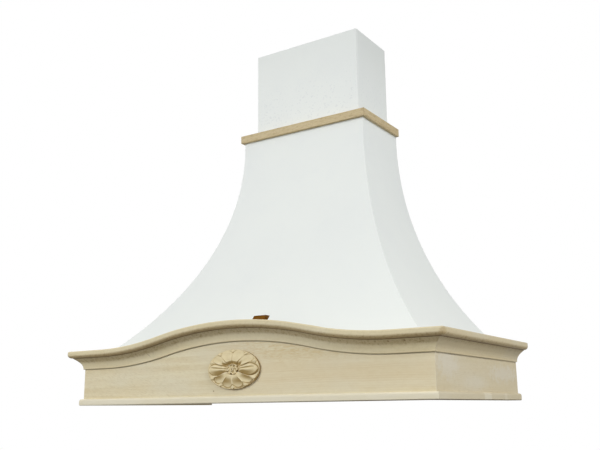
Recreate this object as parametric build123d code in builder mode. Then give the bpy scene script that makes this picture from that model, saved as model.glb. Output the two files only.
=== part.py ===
from build123d import *

import os
from math import asin, cos, degrees, pi, radians, sin, sqrt, tan

# A wooden range hood cover that hangs on a wall and hides a built-in extractor.
# Millimetres. The origin is the middle of the outline at the bottom rim:
# +X is right, -Y is the front, +Y is the wall and +Z is up.

# ---- Frieze: three boards round the bottom, mitred at the front corners
frieze_width = 900.0          # across the outer faces of the side boards
frieze_depth = 450.0          # from the wall to the front board's outer face
frieze_board = 22.0           # thickness of the boards
frieze_height = 84.0          # from the rim to the underside of the crown

# ---- Bead: a small round-topped strip along the rim
bead_height = 15.0
bead_projection = 7.5
bead_top_radius = 5.0
bead_rim_radius = 2.5

# ---- Crown: a cove under a rounded nosing with a groove between, arched along the front
crown_height = 42.0
crown_projection = 30.0
crown_step = 3.0              # how far the foot of the cove stands off the frieze
nosing_height = 16.0          # above the groove
nosing_top_radius = 3.0
nosing_under_radius = 8.0
groove_width = 1.2
groove_depth = 1.6
arch_rise = 42.5              # how far the front crown and frieze rise in the middle
arch_half_span = 376.0        # from the middle to where the arch runs level

# ---- Carved rosette on the front frieze
rosette_width = 134.0
rosette_height = 81.0
rosette_centre_height = 68.5
rosette_rim = 5.0             # thickness of the oval ground behind the petals
petal_count = 10
petal_root = 0.20             # shares of the way from the middle to the oval's edge
petal_belly = 0.72
petal_tip = 0.96
petal_fullness = 0.86         # share of the way to the next petal's edge at the belly
petal_relief = 3.0
floret_lobes = 6
floret_radius = 10.5
floret_lobe_radius = 5.0
floret_base_relief = 6.0
floret_base_taper = 24.0      # degrees
floret_relief = 3.5

# ---- Inner ledge that carries the dome, and the strips under it
ledge_board = 12.0
strip = 20.0                  # square section of the strips glued inside the frieze
ledge_margin = 8.0            # how far the ledge runs inward past the rib feet

# ---- Dome: three bent panels, hollow outside, on four curved ribs
dome_panel = 8.0
neck_width = 354.0
neck_depth = 182.0            # from the wall to the neck's front face
neck_top = 694.0              # top of the dome above the rim
flare_top = 662.0             # where the flare begins under the straight neck
foot_setback_side = 44.0      # from the side frieze's outer face to the dome's foot
foot_setback_front = 39.0     # from the front frieze's outer face to the dome's foot
rib_board = 18.0
rib_depth = 38.0
front_rib_spacing = 220.0
glue_gap = 0.3                # between a rib and the bent panel glued to it

# ---- Band round the neck, and the collar inside it
band_height = 20.0
band_projection = 8.0
band_edge_radius = 0.8
collar_rail = 15.0
collar_height = 40.0

# ---- Chimney box that slides up out of the neck
chimney_clearance = 1.0
chimney_board = 8.0
chimney_length = 500.0
chimney_rest_height = 425.0   # top of the rail and blocks that it stands on
corner_batten = 20.0
corner_batten_short = 10.0    # how far the battens stop below the chimney's top
strap_height = 40.0
strap_inset = 20.0            # from each end of the chimney to the strap
rest_height = 20.0            # of the front rail and the two back blocks under it
rest_notch = 15.0             # how deep the front rail is let into each front rib
rest_block_lap = 22.0         # how far each back block laps over its rib
rest_block_lip = 2.0          # how far each back block shows inside the chimney wall

# ---- Back frame and the two-part wall cleat, bevelled at 45 degrees
back_board = 18.0
back_rail_lift = 10.0         # from the rim up to the back rail, which stays out of sight
wall_hole_radius = 3.0
wall_hole_spacing = 700.0
wall_hole_drop = 16.0         # below the top of the back rail
cleat_lift = 20.0             # how far the cover lifts to come off its cleat
cleat_clearance = 4.0         # left under the cleat by that lift
cross_rail_height = 50.0
cross_rail_end_gap = 8.0      # from the cross rail's ends to the dome panels
hanging_rail_height = 42.0    # at the wall face, below the cross rail's top
hanging_rail_end_gap = 14.0
cleat_height = 50.0           # at the wall face
cleat_short = 10.0            # how much shorter than the hanging rail at each end
cleat_gap = 0.3
cleat_hole_spacing = 400.0
cleat_hole_above_bottom = 20.0

# ---- Board under the cover that takes the extractor insert
insert_board = 16.0
insert_recess = 24.0          # from the rim up to the board
insert_gap = 0.5              # round the board's edges
cutout_length = 702.0
cutout_width = 260.0
insert_hole_margin = 10.0     # from the cut-out's edges to the fixing holes
insert_hole_radius = 1.5
corner_block_leg = 40.0

# ---- Stained stay block behind the middle of the arch
stay_width = 30.0
stay_thickness = 15.0
stay_height = 53.5
stay_top_middle = 49.0        # x of the middle of its top
stay_lean = 35.0              # degrees from upright

# ---- Countersunk wood screws
screw_length = 30.0
screw_radius = 2.0
screw_head_radius = 4.0
screw_head_depth = 2.5
screw_tip = 4.0
screw_tip_radius = 0.4
screw_slot_width = 0.9
screw_slot_depth = 1.4
screw_gap = 0.05
insert_screw_reach = 300.0    # outer screws along the front and back of the board
insert_screw_step = 90.0      # side screws, each way from the board's middle
hanging_screw_reach = 200.0
hanging_screw_inner = 70.0
cross_rail_screw_drop = 12.0  # below the cross rail's top

# ---- Worked out from the sizes above
half_width = frieze_width / 2
wall_y = (frieze_depth + crown_projection) / 2
front_y = wall_y - frieze_depth
inner_x = half_width - frieze_board
inner_y = front_y + frieze_board
crown_top = frieze_height + crown_height
arch_radius = ((arch_half_span / 2) ** 2 + (arch_rise / 2) ** 2) / arch_rise
arch_swing = degrees(asin(arch_half_span / 2 / arch_radius))

neck_x = neck_width / 2
neck_y = wall_y - neck_depth
flare_drop = flare_top - crown_top
side_flare = half_width - foot_setback_side - neck_x
front_flare = frieze_depth - foot_setback_front - neck_depth
side_radius = (side_flare ** 2 + flare_drop ** 2) / (2 * side_flare)
front_radius = (front_flare ** 2 + flare_drop ** 2) / (2 * front_flare)

chimney_x = neck_x - dome_panel - collar_rail - chimney_clearance
chimney_y = neck_y + dome_panel + collar_rail + chimney_clearance
collar_bottom = neck_top - collar_height
back_y = wall_y - back_board
strip_top = crown_top - ledge_board
insert_top = insert_recess + insert_board
insert_mid_y = (inner_y + back_y) / 2


def flare_offset(radius, inset, height):
    """How far out from the neck face the flare lies, inset into the wall, at a height."""
    drop = max(flare_top - height, 0.0)
    return radius - sqrt((radius + inset) ** 2 - drop ** 2)


def side_line(inset, height):
    """x of the side panel's outer face, moved in by inset, at a height."""
    return neck_x + flare_offset(side_radius, inset, height)


def front_line(inset, height):
    """y of the front panel's outer face, moved in by inset, at a height."""
    return neck_y - flare_offset(front_radius, inset, height)


rib_inset = dome_panel + rib_depth
ledge_inner_x = side_line(rib_inset, crown_top) - ledge_margin
ledge_inner_y = front_line(rib_inset, crown_top) + ledge_margin
rest_bottom = chimney_rest_height - rest_height
rest_rail_y = front_line(rib_inset, rest_bottom) - rest_notch
rest_block_x = side_line(rib_inset, rest_bottom) + rest_block_lap
back_rail_top = strip_top - strip
cleat_bottom = back_rail_top + cleat_lift + cleat_clearance
hanging_bottom = cleat_bottom + cleat_height
cross_rail_top = hanging_bottom + hanging_rail_height
hanging_x = side_line(rib_inset, cross_rail_top) - hanging_rail_end_gap
cross_rail_x = side_line(dome_panel, cross_rail_top) - cross_rail_end_gap

# ---- Planes
front_plane = Plane(origin=(0, front_y, 0), x_dir=(1, 0, 0), z_dir=(0, -1, 0))
reach = frieze_width + frieze_depth      # longer than any piece, for cutting to length


def out_from_front(y, height=0, x=0):
    """A section plane across a front piece: local x runs outward from y, local y is up."""
    return Plane(origin=(x, y, height), x_dir=(0, -1, 0), z_dir=(-1, 0, 0))


def out_from_side(x, height=0):
    """A section plane across a right-hand piece: local x runs outward from x, local y is up."""
    return Plane(origin=(x, wall_y, height), x_dir=(1, 0, 0), z_dir=(0, -1, 0))


LOW = (Align.MIN, Align.MIN)
LOW_CORNER = (Align.MIN, Align.MIN, Align.MIN)
STAND = (Align.CENTER, Align.CENTER, Align.MIN)


def save(builder, name):
    """Label a finished piece and write it."""
    builder.part.label = name
    export_step(builder.part, f"parts/{name}.step")


def save_pair(right, name):
    """Write a right-hand piece and its mirror image."""
    with BuildPart() as left:
        mirror(right.part, about=Plane.YZ)
    save(left, f"{name}_left")
    save(right, f"{name}_right")


def block(low, high):
    """A box between two corners, in the open part."""
    size = [high[i] - low[i] for i in range(3)]
    with Locations(low):
        Box(*size, align=LOW_CORNER)


def mitre(side, x=half_width, y=front_y):
    """The upright 45 degree plane through a front corner; its normal faces the side piece."""
    return Plane(origin=(side * x, y, 0), z_dir=(side, 1, 0))


def cut_front_ends(x=half_width, y=front_y):
    """Mitre both ends of the open front piece."""
    for side in (-1, 1):
        split(bisect_by=mitre(side, x, y), keep=Keep.BOTTOM)


def arch_line(lift, half_length):
    """The arched line, lift above the crown's underside, from left to right.

    Level ends run into a hollow arc, a hump and a hollow arc, all tangent. The hollows
    lose the lift from their radius and the hump gains it, so lines at any lift are parallel.
    """
    base = frieze_height + lift
    hollow, hump = arch_radius - lift, arch_radius + lift
    start = Line((-half_length, base), (-arch_half_span, base))
    rise = JernArc(start @ 1, (1, 0), hollow, arch_swing)
    over = JernArc(rise @ 1, rise % 1, hump, -2 * arch_swing)
    fall = JernArc(over @ 1, over % 1, hollow, arch_swing)
    Line(fall @ 1, (half_length, base))


def crown_section():
    """Crown section from the frieze face outward: step, cove, groove, nosing; foot at 0, 0.

    The cove rises upright from its foot and leans out more and more up to the groove.
    """
    under = crown_height - nosing_height
    groove_out = crown_projection - nosing_under_radius
    cove_out, cove_top = groove_out - groove_width, under - groove_width / 2
    with BuildLine() as outline:
        foot = Line((0, 0), (crown_step, 0))
        cove = Bezier(
            foot @ 1, (crown_step, 0.5 * cove_top),
            ((crown_step + cove_out) / 2, 0.745 * cove_top), (cove_out, cove_top))
        groove = Polyline(cove @ 1, (groove_out - groove_width / 2, under + groove_depth),
                          (groove_out, under))
        rounded = RadiusArc(groove @ 1, (crown_projection, under + nosing_under_radius),
                            -nosing_under_radius)
        face = Line(rounded @ 1, (crown_projection, crown_height - nosing_top_radius))
        brow = RadiusArc(
            face @ 1, (crown_projection - nosing_top_radius, crown_height), -nosing_top_radius)
        Polyline(brow @ 1, (0, crown_height), (0, 0))
    make_face(outline.edges())


def bead_section():
    """Bead section from the frieze face outward, standing on the rim."""
    Rectangle(bead_projection, bead_height, align=LOW)


def flare_section(radius, outer, inner, bottom, top):
    """The dome wall between two insets, as a section: local x outward from the neck face."""
    swing_outer = degrees(asin((flare_top - bottom) / (radius + outer)))
    swing_inner = degrees(asin((flare_top - bottom) / (radius + inner)))
    with BuildLine() as outline:
        out = CenterArc((radius, flare_top), radius + outer, 180, swing_outer)
        back = CenterArc((radius, flare_top), radius + inner, 180, swing_inner)
        Line(out @ 1, back @ 1)
        Polyline(out @ 0, (-outer, top), (-inner, top), back @ 0)
    make_face(outline.edges())


def filled_flare(radius, inset, depth):
    """Everything behind the dome wall's face, moved in by inset, down to depth behind it."""
    swing = degrees(asin(flare_drop / (radius + inset)))
    with BuildLine() as outline:
        out = CenterArc((radius, flare_top), radius + inset, 180, swing)
        Polyline(out @ 1, (-depth, crown_top), (-depth, neck_top), (-inset, neck_top), out @ 0)
    make_face(outline.edges())


def screw_places(points, direction):
    """Screw locations at the head's face; direction is the way the screw is driven."""
    return [Plane(origin=point, z_dir=direction).location for point in points]


def wood_screws(places):
    """Countersunk screws with a crossed slot, in the open part."""
    with Locations(places):
        Cylinder(screw_radius, screw_length - screw_tip, align=STAND)
        Cone(screw_head_radius, screw_radius, screw_head_depth, align=STAND)
        with Locations((0, 0, screw_length - screw_tip)):
            Cone(screw_radius, screw_tip_radius, screw_tip, align=STAND)
        slot = 2 * screw_head_radius - 3 * screw_slot_width
        for size in ((slot, screw_slot_width), (screw_slot_width, slot)):
            Box(*size, screw_slot_depth, align=STAND, mode=Mode.SUBTRACT)


def screw_holes(places):
    """Matching countersunk holes through the open part."""
    with Locations(places):
        Cylinder(screw_radius + screw_gap, screw_length + screw_gap, align=STAND,
                 mode=Mode.SUBTRACT)
        Cone(screw_head_radius + screw_gap, screw_radius + screw_gap, screw_head_depth,
             align=STAND, mode=Mode.SUBTRACT)


def round_holes(points, radius, direction):
    """Plain holes through the open part, starting outside it at each point."""
    with Locations(screw_places(points, direction)):
        Cylinder(radius, frieze_board + back_board, align=STAND, mode=Mode.SUBTRACT)


# ---- Where the screws go
insert_screws = screw_places(
    [(x, y, insert_recess)
     for x in (-insert_screw_reach, 0, insert_screw_reach)
     for y in (inner_y + strip / 2, back_y - strip / 2)]
    + [(side * (inner_x - strip / 2), insert_mid_y + step, insert_recess)
       for side in (-1, 1) for step in (-insert_screw_step, insert_screw_step)],
    (0, 0, 1))
front_rib_mid_y = (front_line(dome_panel, crown_top) + front_line(rib_inset, crown_top)) / 2
back_rib_mid_x = (side_line(dome_panel, crown_top) + side_line(rib_inset, crown_top)) / 2
rib_foot_screws = screw_places(
    [(side * front_rib_spacing / 2, front_rib_mid_y, strip_top) for side in (-1, 1)]
    + [(side * back_rib_mid_x, wall_y - rib_board / 2, strip_top) for side in (-1, 1)],
    (0, 0, 1))
cross_screw_height = cross_rail_top - cross_rail_screw_drop
cross_screw_x = (side_line(rib_inset, cross_screw_height) + cross_rail_x) / 2
cross_rail_screws = screw_places(
    [(x, back_y - back_board, cross_screw_height)
     for side in (-1, 1)
     for x in (side * cross_screw_x, side * hanging_screw_reach, side * hanging_screw_inner)],
    (0, 1, 0))
rest_block_screw_x = (side_line(rib_inset, rest_bottom) + rest_block_x) / 2
rest_rail_screw_y = (rest_rail_y + front_line(rib_inset, rest_bottom)) / 2
rest_screws = (
    screw_places(
        [(side * rest_block_screw_x, back_y - back_board, rest_bottom + rest_height / 2)
         for side in (-1, 1)], (0, 1, 0))
    + screw_places(
        [(side * front_rib_spacing / 2, rest_rail_screw_y, chimney_rest_height)
         for side in (-1, 1)], (0, 0, -1)))

os.makedirs("parts", exist_ok=True)

# ---- Frieze boards
with BuildPart() as apron_front:
    with BuildSketch(front_plane):
        with BuildLine():
            arch_line(crown_height, half_width)
            Polyline((half_width, crown_top), (half_width, 0), (-half_width, 0),
                     (-half_width, crown_top))
        make_face()
    extrude(amount=-frieze_board)
    cut_front_ends()
save(apron_front, "apron_front")

with BuildPart() as apron_side:
    block((inner_x, front_y, 0), (half_width, wall_y, crown_top))
    split(bisect_by=mitre(1), keep=Keep.TOP)
save_pair(apron_side, "apron")

# ---- Bead along the rim
with BuildPart() as bead_front:
    with BuildSketch(out_from_front(front_y)):
        bead_section()
    extrude(amount=reach, both=True)
    outer = bead_front.edges().filter_by(Axis.X).group_by(Axis.Y)[0].sort_by(Axis.Z)
    fillet(outer[-1], bead_top_radius)
    outer = bead_front.edges().filter_by(Axis.X).group_by(Axis.Y)[0].sort_by(Axis.Z)
    fillet(outer[0], bead_rim_radius)
    cut_front_ends()
save(bead_front, "bead_front")

with BuildPart() as bead_side:
    with BuildSketch(out_from_side(half_width)):
        bead_section()
    extrude(amount=reach)
    outer = bead_side.edges().filter_by(Axis.Y).group_by(Axis.X)[-1].sort_by(Axis.Z)
    fillet(outer[-1], bead_top_radius)
    outer = bead_side.edges().filter_by(Axis.Y).group_by(Axis.X)[-1].sort_by(Axis.Z)
    fillet(outer[0], bead_rim_radius)
    split(bisect_by=mitre(1), keep=Keep.TOP)
save_pair(bead_side, "bead")

# ---- Crown moulding
crown_reach = half_width + 2 * crown_projection
with BuildPart() as crown_front:
    with BuildLine(front_plane) as crown_path:
        arch_line(0, crown_reach)
    with BuildSketch(out_from_front(front_y, frieze_height, -crown_reach)):
        crown_section()
    sweep(path=crown_path.wires()[0])
    cut_front_ends()
save(crown_front, "crown_front")

with BuildPart() as crown_side:
    with BuildSketch(out_from_side(half_width, frieze_height)):
        crown_section()
    extrude(amount=reach)
    split(bisect_by=mitre(1), keep=Keep.TOP)
save_pair(crown_side, "crown")

# ---- Rosette: an oval ground, pointed petals and a small lobed floret
rosette_plane = Plane((0, front_y, rosette_centre_height), x_dir=(1, 0, 0), z_dir=(0, -1, 0))
petal_angle = 2 * pi / petal_count


def on_oval(share, turn):
    """A point of the rosette, a share of the way out to its edge, at a turn round it."""
    return (share * rosette_width / 2 * cos(turn), share * rosette_height / 2 * sin(turn))


with BuildPart() as rosette:
    with BuildSketch(rosette_plane):
        Ellipse(rosette_width / 2, rosette_height / 2)
    extrude(amount=rosette_rim)
    for number in range(petal_count):
        turn = number * petal_angle
        half_turn = petal_fullness * petal_angle / 2
        with BuildSketch(rosette_plane.offset(rosette_rim)):
            with BuildLine():
                for edge_turn in (turn - half_turn, turn + half_turn):
                    ThreePointArc(on_oval(petal_root, turn), on_oval(petal_belly, edge_turn),
                                  on_oval(petal_tip, turn))
            make_face()
        extrude(amount=petal_relief)
    with BuildSketch(rosette_plane.offset(rosette_rim)):
        Circle(floret_radius + floret_lobe_radius)
    extrude(amount=floret_base_relief, taper=floret_base_taper)
    with BuildSketch(rosette_plane.offset(rosette_rim + floret_base_relief)):
        with PolarLocations(floret_radius - floret_lobe_radius, floret_lobes):
            Circle(floret_lobe_radius)
    extrude(amount=floret_relief)
save(rosette, "rosette")

# ---- Ledge boards and the strips that carry them
with BuildPart() as ledge_front:
    block((-inner_x, inner_y, strip_top), (inner_x, ledge_inner_y, crown_top))
    screw_holes(rib_foot_screws)
save(ledge_front, "ledge_front")

with BuildPart() as ledge_side:
    block((ledge_inner_x, ledge_inner_y, strip_top), (inner_x, wall_y, crown_top))
    screw_holes(rib_foot_screws)
save_pair(ledge_side, "ledge")

with BuildPart() as ledge_strip_front:
    block((-inner_x, inner_y, strip_top - strip), (inner_x, inner_y + strip, strip_top))
save(ledge_strip_front, "ledge_strip_front")

with BuildPart() as ledge_strip_side:
    block((inner_x - strip, inner_y + strip, strip_top - strip), (inner_x, wall_y, strip_top))
save_pair(ledge_strip_side, "ledge_strip")

# ---- Dome panels: the front one laps over the edges of the side ones
with BuildPart() as dome_front:
    with BuildSketch(out_from_front(neck_y)):
        flare_section(front_radius, 0, dome_panel, crown_top, neck_top)
    extrude(amount=reach, both=True)
    with BuildSketch(out_from_side(neck_x)):
        filled_flare(side_radius, 0, neck_x)
    right_half = extrude(amount=reach, both=True, mode=Mode.PRIVATE)
    add(right_half + mirror(right_half, about=Plane.YZ, mode=Mode.PRIVATE), mode=Mode.INTERSECT)
save(dome_front, "dome_front")

with BuildPart() as dome_side:
    with BuildSketch(out_from_side(neck_x)):
        flare_section(side_radius, 0, dome_panel, crown_top, neck_top)
    extrude(amount=reach)
    with BuildSketch(out_from_front(neck_y)):
        filled_flare(front_radius, dome_panel, neck_depth)
    extrude(amount=reach, both=True, mode=Mode.INTERSECT)
save_pair(dome_side, "dome")

# ---- Curved ribs behind the panels
rib_outer = dome_panel + glue_gap
with BuildPart() as front_rib:
    with BuildSketch(out_from_front(neck_y, x=(front_rib_spacing + rib_board) / 2)):
        flare_section(front_radius, rib_outer, rib_inset, crown_top, neck_top)
    extrude(amount=rib_board)
    split(bisect_by=Plane.XY.offset(collar_bottom), keep=Keep.BOTTOM)
    split(bisect_by=Plane((0, chimney_y - chimney_clearance, 0), z_dir=(0, 1, 0)),
          keep=Keep.BOTTOM)
    with Locations((0, rest_rail_y, rest_bottom)):
        Box(reach, reach, rest_height, align=(Align.CENTER, Align.MIN, Align.MIN),
            mode=Mode.SUBTRACT)
    screw_holes(rib_foot_screws)
    screw_holes(rest_screws)
save_pair(front_rib, "front_rib")

with BuildPart() as back_rib:
    with BuildSketch(out_from_side(neck_x)):
        flare_section(side_radius, rib_outer, rib_inset, crown_top, neck_top)
    extrude(amount=rib_board)
    split(bisect_by=Plane.XY.offset(collar_bottom), keep=Keep.BOTTOM)
    split(bisect_by=Plane((chimney_x + chimney_clearance, 0, 0), z_dir=(1, 0, 0)),
          keep=Keep.TOP)
    screw_holes(rib_foot_screws)
    screw_holes(cross_rail_screws)
    screw_holes(rest_screws)
save_pair(back_rib, "back_rib")

# ---- Collar rails inside the neck
with BuildPart() as collar_front:
    block((dome_panel - neck_x, neck_y + dome_panel, collar_bottom),
          (neck_x - dome_panel, chimney_y - chimney_clearance, neck_top))
save(collar_front, "collar_front")

with BuildPart() as collar_side:
    block((chimney_x + chimney_clearance, chimney_y - chimney_clearance, collar_bottom),
          (neck_x - dome_panel, wall_y, neck_top))
save_pair(collar_side, "collar")

# ---- Band round the outside of the neck
band_x = neck_x + band_projection
band_y = neck_y - band_projection
with BuildPart() as band_front:
    block((-band_x, band_y, neck_top - band_height), (band_x, neck_y, neck_top))
    fillet(band_front.edges().filter_by(Axis.X).group_by(Axis.Y)[0], band_edge_radius)
    cut_front_ends(neck_x, neck_y)
save(band_front, "band_front")

with BuildPart() as band_side:
    block((neck_x, band_y, neck_top - band_height), (band_x, wall_y, neck_top))
    fillet(band_side.edges().filter_by(Axis.Y).group_by(Axis.X)[-1], band_edge_radius)
    split(bisect_by=mitre(1, neck_x, neck_y), keep=Keep.TOP)
save_pair(band_side, "band")

# ---- Chimney box, open at the back
chimney_top = chimney_rest_height + chimney_length
chimney_inner_x = chimney_x - chimney_board
chimney_inner_y = chimney_y + chimney_board
with BuildPart() as chimney_front:
    block((-chimney_x, chimney_y, chimney_rest_height), (chimney_x, chimney_inner_y, chimney_top))
save(chimney_front, "chimney_front")

with BuildPart() as chimney_side:
    block((chimney_inner_x, chimney_inner_y, chimney_rest_height),
          (chimney_x, wall_y, chimney_top))
save_pair(chimney_side, "chimney")

with BuildPart() as chimney_batten:
    block((chimney_inner_x - corner_batten, chimney_inner_y, chimney_rest_height),
          (chimney_inner_x, chimney_inner_y + corner_batten, chimney_top - corner_batten_short))
save_pair(chimney_batten, "chimney_batten")

strap_heights = {
    "chimney_strap_lower": chimney_rest_height + strap_inset,
    "chimney_strap_upper": chimney_top - strap_inset - strap_height,
}
for name, height in strap_heights.items():
    with BuildPart() as chimney_strap:
        block((-chimney_inner_x, back_y, height), (chimney_inner_x, wall_y, height + strap_height))
    save(chimney_strap, name)

# ---- What the chimney stands on: a rail let into the front ribs, a block on each back rib
with BuildPart() as chimney_rest_rail:
    block((-chimney_x, rest_rail_y, rest_bottom),
          (chimney_x, chimney_inner_y, chimney_rest_height))
    screw_holes(rest_screws)
save(chimney_rest_rail, "chimney_rest_rail")

with BuildPart() as chimney_rest_block:
    block((chimney_inner_x - rest_block_lip, back_y - back_board, rest_bottom),
          (rest_block_x, back_y, chimney_rest_height))
    screw_holes(rest_screws)
save_pair(chimney_rest_block, "chimney_rest_block")

# ---- Back rail, cross rail, hanging rail and wall cleat
with BuildPart() as back_rail:
    block((-inner_x, back_y, back_rail_lift), (inner_x, wall_y, back_rail_top))
    round_holes([(side * wall_hole_spacing / 2, back_y - 1, back_rail_top - wall_hole_drop)
                 for side in (-1, 1)], wall_hole_radius, (0, 1, 0))
save(back_rail, "back_rail")

with BuildPart() as cross_rail:
    block((-cross_rail_x, back_y - back_board, cross_rail_top - cross_rail_height),
          (cross_rail_x, back_y, cross_rail_top))
    screw_holes(cross_rail_screws)
save(cross_rail, "cross_rail")

with BuildPart() as hanging_rail:
    with BuildSketch(Plane.YZ):
        with BuildLine():
            Polyline((back_y, cross_rail_top), (wall_y, cross_rail_top), (wall_y, hanging_bottom),
                     (back_y, hanging_bottom + back_board), close=True)
        make_face()
    extrude(amount=hanging_x, both=True)
    screw_holes(cross_rail_screws)
save(hanging_rail, "hanging_rail")

cleat_x = hanging_x - cleat_short
cleat_face = back_y + cleat_gap
cleat_top = hanging_bottom - cleat_gap
with BuildPart() as wall_cleat:
    with BuildSketch(Plane.YZ):
        with BuildLine():
            Polyline((cleat_face, cleat_bottom), (wall_y, cleat_bottom), (wall_y, cleat_top),
                     (cleat_face, cleat_top + wall_y - cleat_face), close=True)
        make_face()
    extrude(amount=cleat_x, both=True)
    cleat_hole_height = cleat_bottom + cleat_hole_above_bottom
    round_holes([(side * cleat_hole_spacing / 2, back_y - 1, cleat_hole_height)
                 for side in (-1, 1)], wall_hole_radius, (0, 1, 0))
save(wall_cleat, "wall_cleat")

# ---- Insert board and the strips that it is screwed up to
with BuildPart() as insert_panel:
    block((insert_gap - inner_x, inner_y + insert_gap, insert_recess),
          (inner_x - insert_gap, back_y - insert_gap, insert_top))
    with Locations((0, insert_mid_y, insert_recess)):
        Box(cutout_length, cutout_width, insert_board, align=STAND, mode=Mode.SUBTRACT)
    round_holes([(across * (cutout_length / 2 + insert_hole_margin),
                  insert_mid_y + along * (cutout_width / 2 + insert_hole_margin),
                  insert_recess - 1)
                 for across in (-1, 1) for along in (-1, 1)], insert_hole_radius, (0, 0, 1))
    screw_holes(insert_screws)
save(insert_panel, "insert_panel")

with BuildPart() as insert_strip_front:
    block((-inner_x, inner_y, insert_top), (inner_x, inner_y + strip, insert_top + strip))
    screw_holes(insert_screws)
save(insert_strip_front, "insert_strip_front")

with BuildPart() as insert_strip_back:
    block((-inner_x, back_y - strip, insert_top), (inner_x, back_y, insert_top + strip))
    screw_holes(insert_screws)
save(insert_strip_back, "insert_strip_back")

with BuildPart() as insert_strip_side:
    block((inner_x - strip, inner_y + strip, insert_top),
          (inner_x, back_y - strip, insert_top + strip))
    screw_holes(insert_screws)
save_pair(insert_strip_side, "insert_strip")

# ---- Glue blocks in the four inner corners, between the two sets of strips
block_bottom = insert_top + strip
block_height = strip_top - strip - block_bottom
with BuildPart() as corner_blocks:
    with BuildSketch(Plane.XY.offset(block_bottom)):
        for x in (-inner_x, inner_x):
            for y in (inner_y, back_y):
                inward_x = corner_block_leg if x < 0 else -corner_block_leg
                inward_y = corner_block_leg if y < 0 else -corner_block_leg
                with BuildLine():
                    Polyline((x, y), (x + inward_x, y), (x, y + inward_y), close=True)
                make_face()
    extrude(amount=block_height)
save(corner_blocks, "corner_blocks")

# ---- Stay block between the arch and the dome's foot, with slanting ends
stay_top = crown_top + stay_height
stay_shift = stay_height * tan(radians(stay_lean))
with BuildPart() as stay_block:
    with BuildSketch(front_plane):
        left, right = stay_top_middle - stay_width / 2, stay_top_middle + stay_width / 2
        with BuildLine():
            Polyline((left - stay_shift, crown_top), (right - stay_shift, crown_top),
                     (right, stay_top), (left, stay_top), close=True)
        make_face()
    extrude(amount=-frieze_board - stay_thickness)
    with Locations((0, inner_y, 0)):
        Box(reach, reach, reach, align=(Align.CENTER, Align.MAX, Align.MIN), mode=Mode.SUBTRACT)
save(stay_block, "stay_block")

# ---- Screws, one group for each place
screw_groups = {
    "insert_screws": insert_screws,
    "rib_foot_screws": rib_foot_screws,
    "cross_rail_screws": cross_rail_screws,
    "chimney_rest_screws": rest_screws,
}
for name, places in screw_groups.items():
    with BuildPart() as screws:
        wood_screws(places)
    save(screws, name)
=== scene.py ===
from math import pi, radians

import bpy
import numpy as np
from mathutils import Matrix, Vector


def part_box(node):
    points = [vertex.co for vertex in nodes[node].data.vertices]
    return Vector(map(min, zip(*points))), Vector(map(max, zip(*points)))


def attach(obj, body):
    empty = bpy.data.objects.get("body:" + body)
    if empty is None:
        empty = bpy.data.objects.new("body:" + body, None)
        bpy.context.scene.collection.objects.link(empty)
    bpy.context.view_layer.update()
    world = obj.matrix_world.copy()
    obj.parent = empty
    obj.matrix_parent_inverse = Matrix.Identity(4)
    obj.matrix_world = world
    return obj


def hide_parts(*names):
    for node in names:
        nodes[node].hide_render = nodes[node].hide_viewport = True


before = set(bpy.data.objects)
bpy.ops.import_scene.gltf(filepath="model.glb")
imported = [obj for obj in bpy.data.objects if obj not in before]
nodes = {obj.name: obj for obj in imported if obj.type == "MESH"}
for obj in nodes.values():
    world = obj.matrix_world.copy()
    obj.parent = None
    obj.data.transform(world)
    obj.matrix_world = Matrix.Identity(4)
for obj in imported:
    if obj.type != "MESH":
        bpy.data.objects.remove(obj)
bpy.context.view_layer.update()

# A wooden range hood cover: white flared dome and chimney over a frieze of bare wood.
# Metres, in the frame of the CAD: +X right, -Y front, wall at y = +0.24, rim at z = 0.

# ---- Places that the looks need, read from the CAD or shared with it, in metres
FRIEZE_LOW, FRIEZE_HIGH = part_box("apron_front")
FRIEZE_FACE = FRIEZE_LOW.y
FRIEZE_MITRE = FRIEZE_HIGH.x + FRIEZE_FACE          # |x| + y on the corner's mitre plane
BAND_LOW, BAND_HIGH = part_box("band_front")
BAND_MITRE = BAND_HIGH.x + BAND_LOW.y
ARCH_HALF_SPAN = 0.376                              # of the front crown's underside
ARCH_RADIUS = 0.8422                                # of the arcs that make the arch
COVE_FOOT = 0.084                                   # height of the crown's level underside
GROOVE_OUT = 0.0214                                 # of the crown, off the frieze's face
PLY_THICKNESS = 0.0015
PLY_START = 1.0004                                  # keeps the count of plies above zero
ROSETTE_CENTRE = 0.0685                             # its height over the rim

# ---- Places of single marks on the wood, in metres
PIT = (-0.0554, -0.21, 0.0253)
SPECKS = (((0.2578, -0.226, 0.1123), 0.30), ((0.2644, -0.226, 0.1125), 0.35),
          ((0.3390, -0.226, 0.1069), 0.50), ((0.3657, -0.226, 0.1056), 0.65),
          ((0.3989, -0.226, 0.1058), 0.80), ((0.4293, -0.226, 0.1062), 0.35))
SCRATCH = (-0.2386, -0.222, 0.1084)
BROWN_CORNER = (0.480, -0.236, 0.118)


# ======================================================================= colours
def tint(red, green, blue):
    """A colour given as it shows on screen, 0 to 255, turned to the linear values of a socket."""
    share = np.array([red, green, blue]) / 255
    linear = np.where(share <= 0.04045, share / 12.92, ((share + 0.055) / 1.055) ** 2.4)
    return (*linear.tolist(), 1.0)


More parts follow.
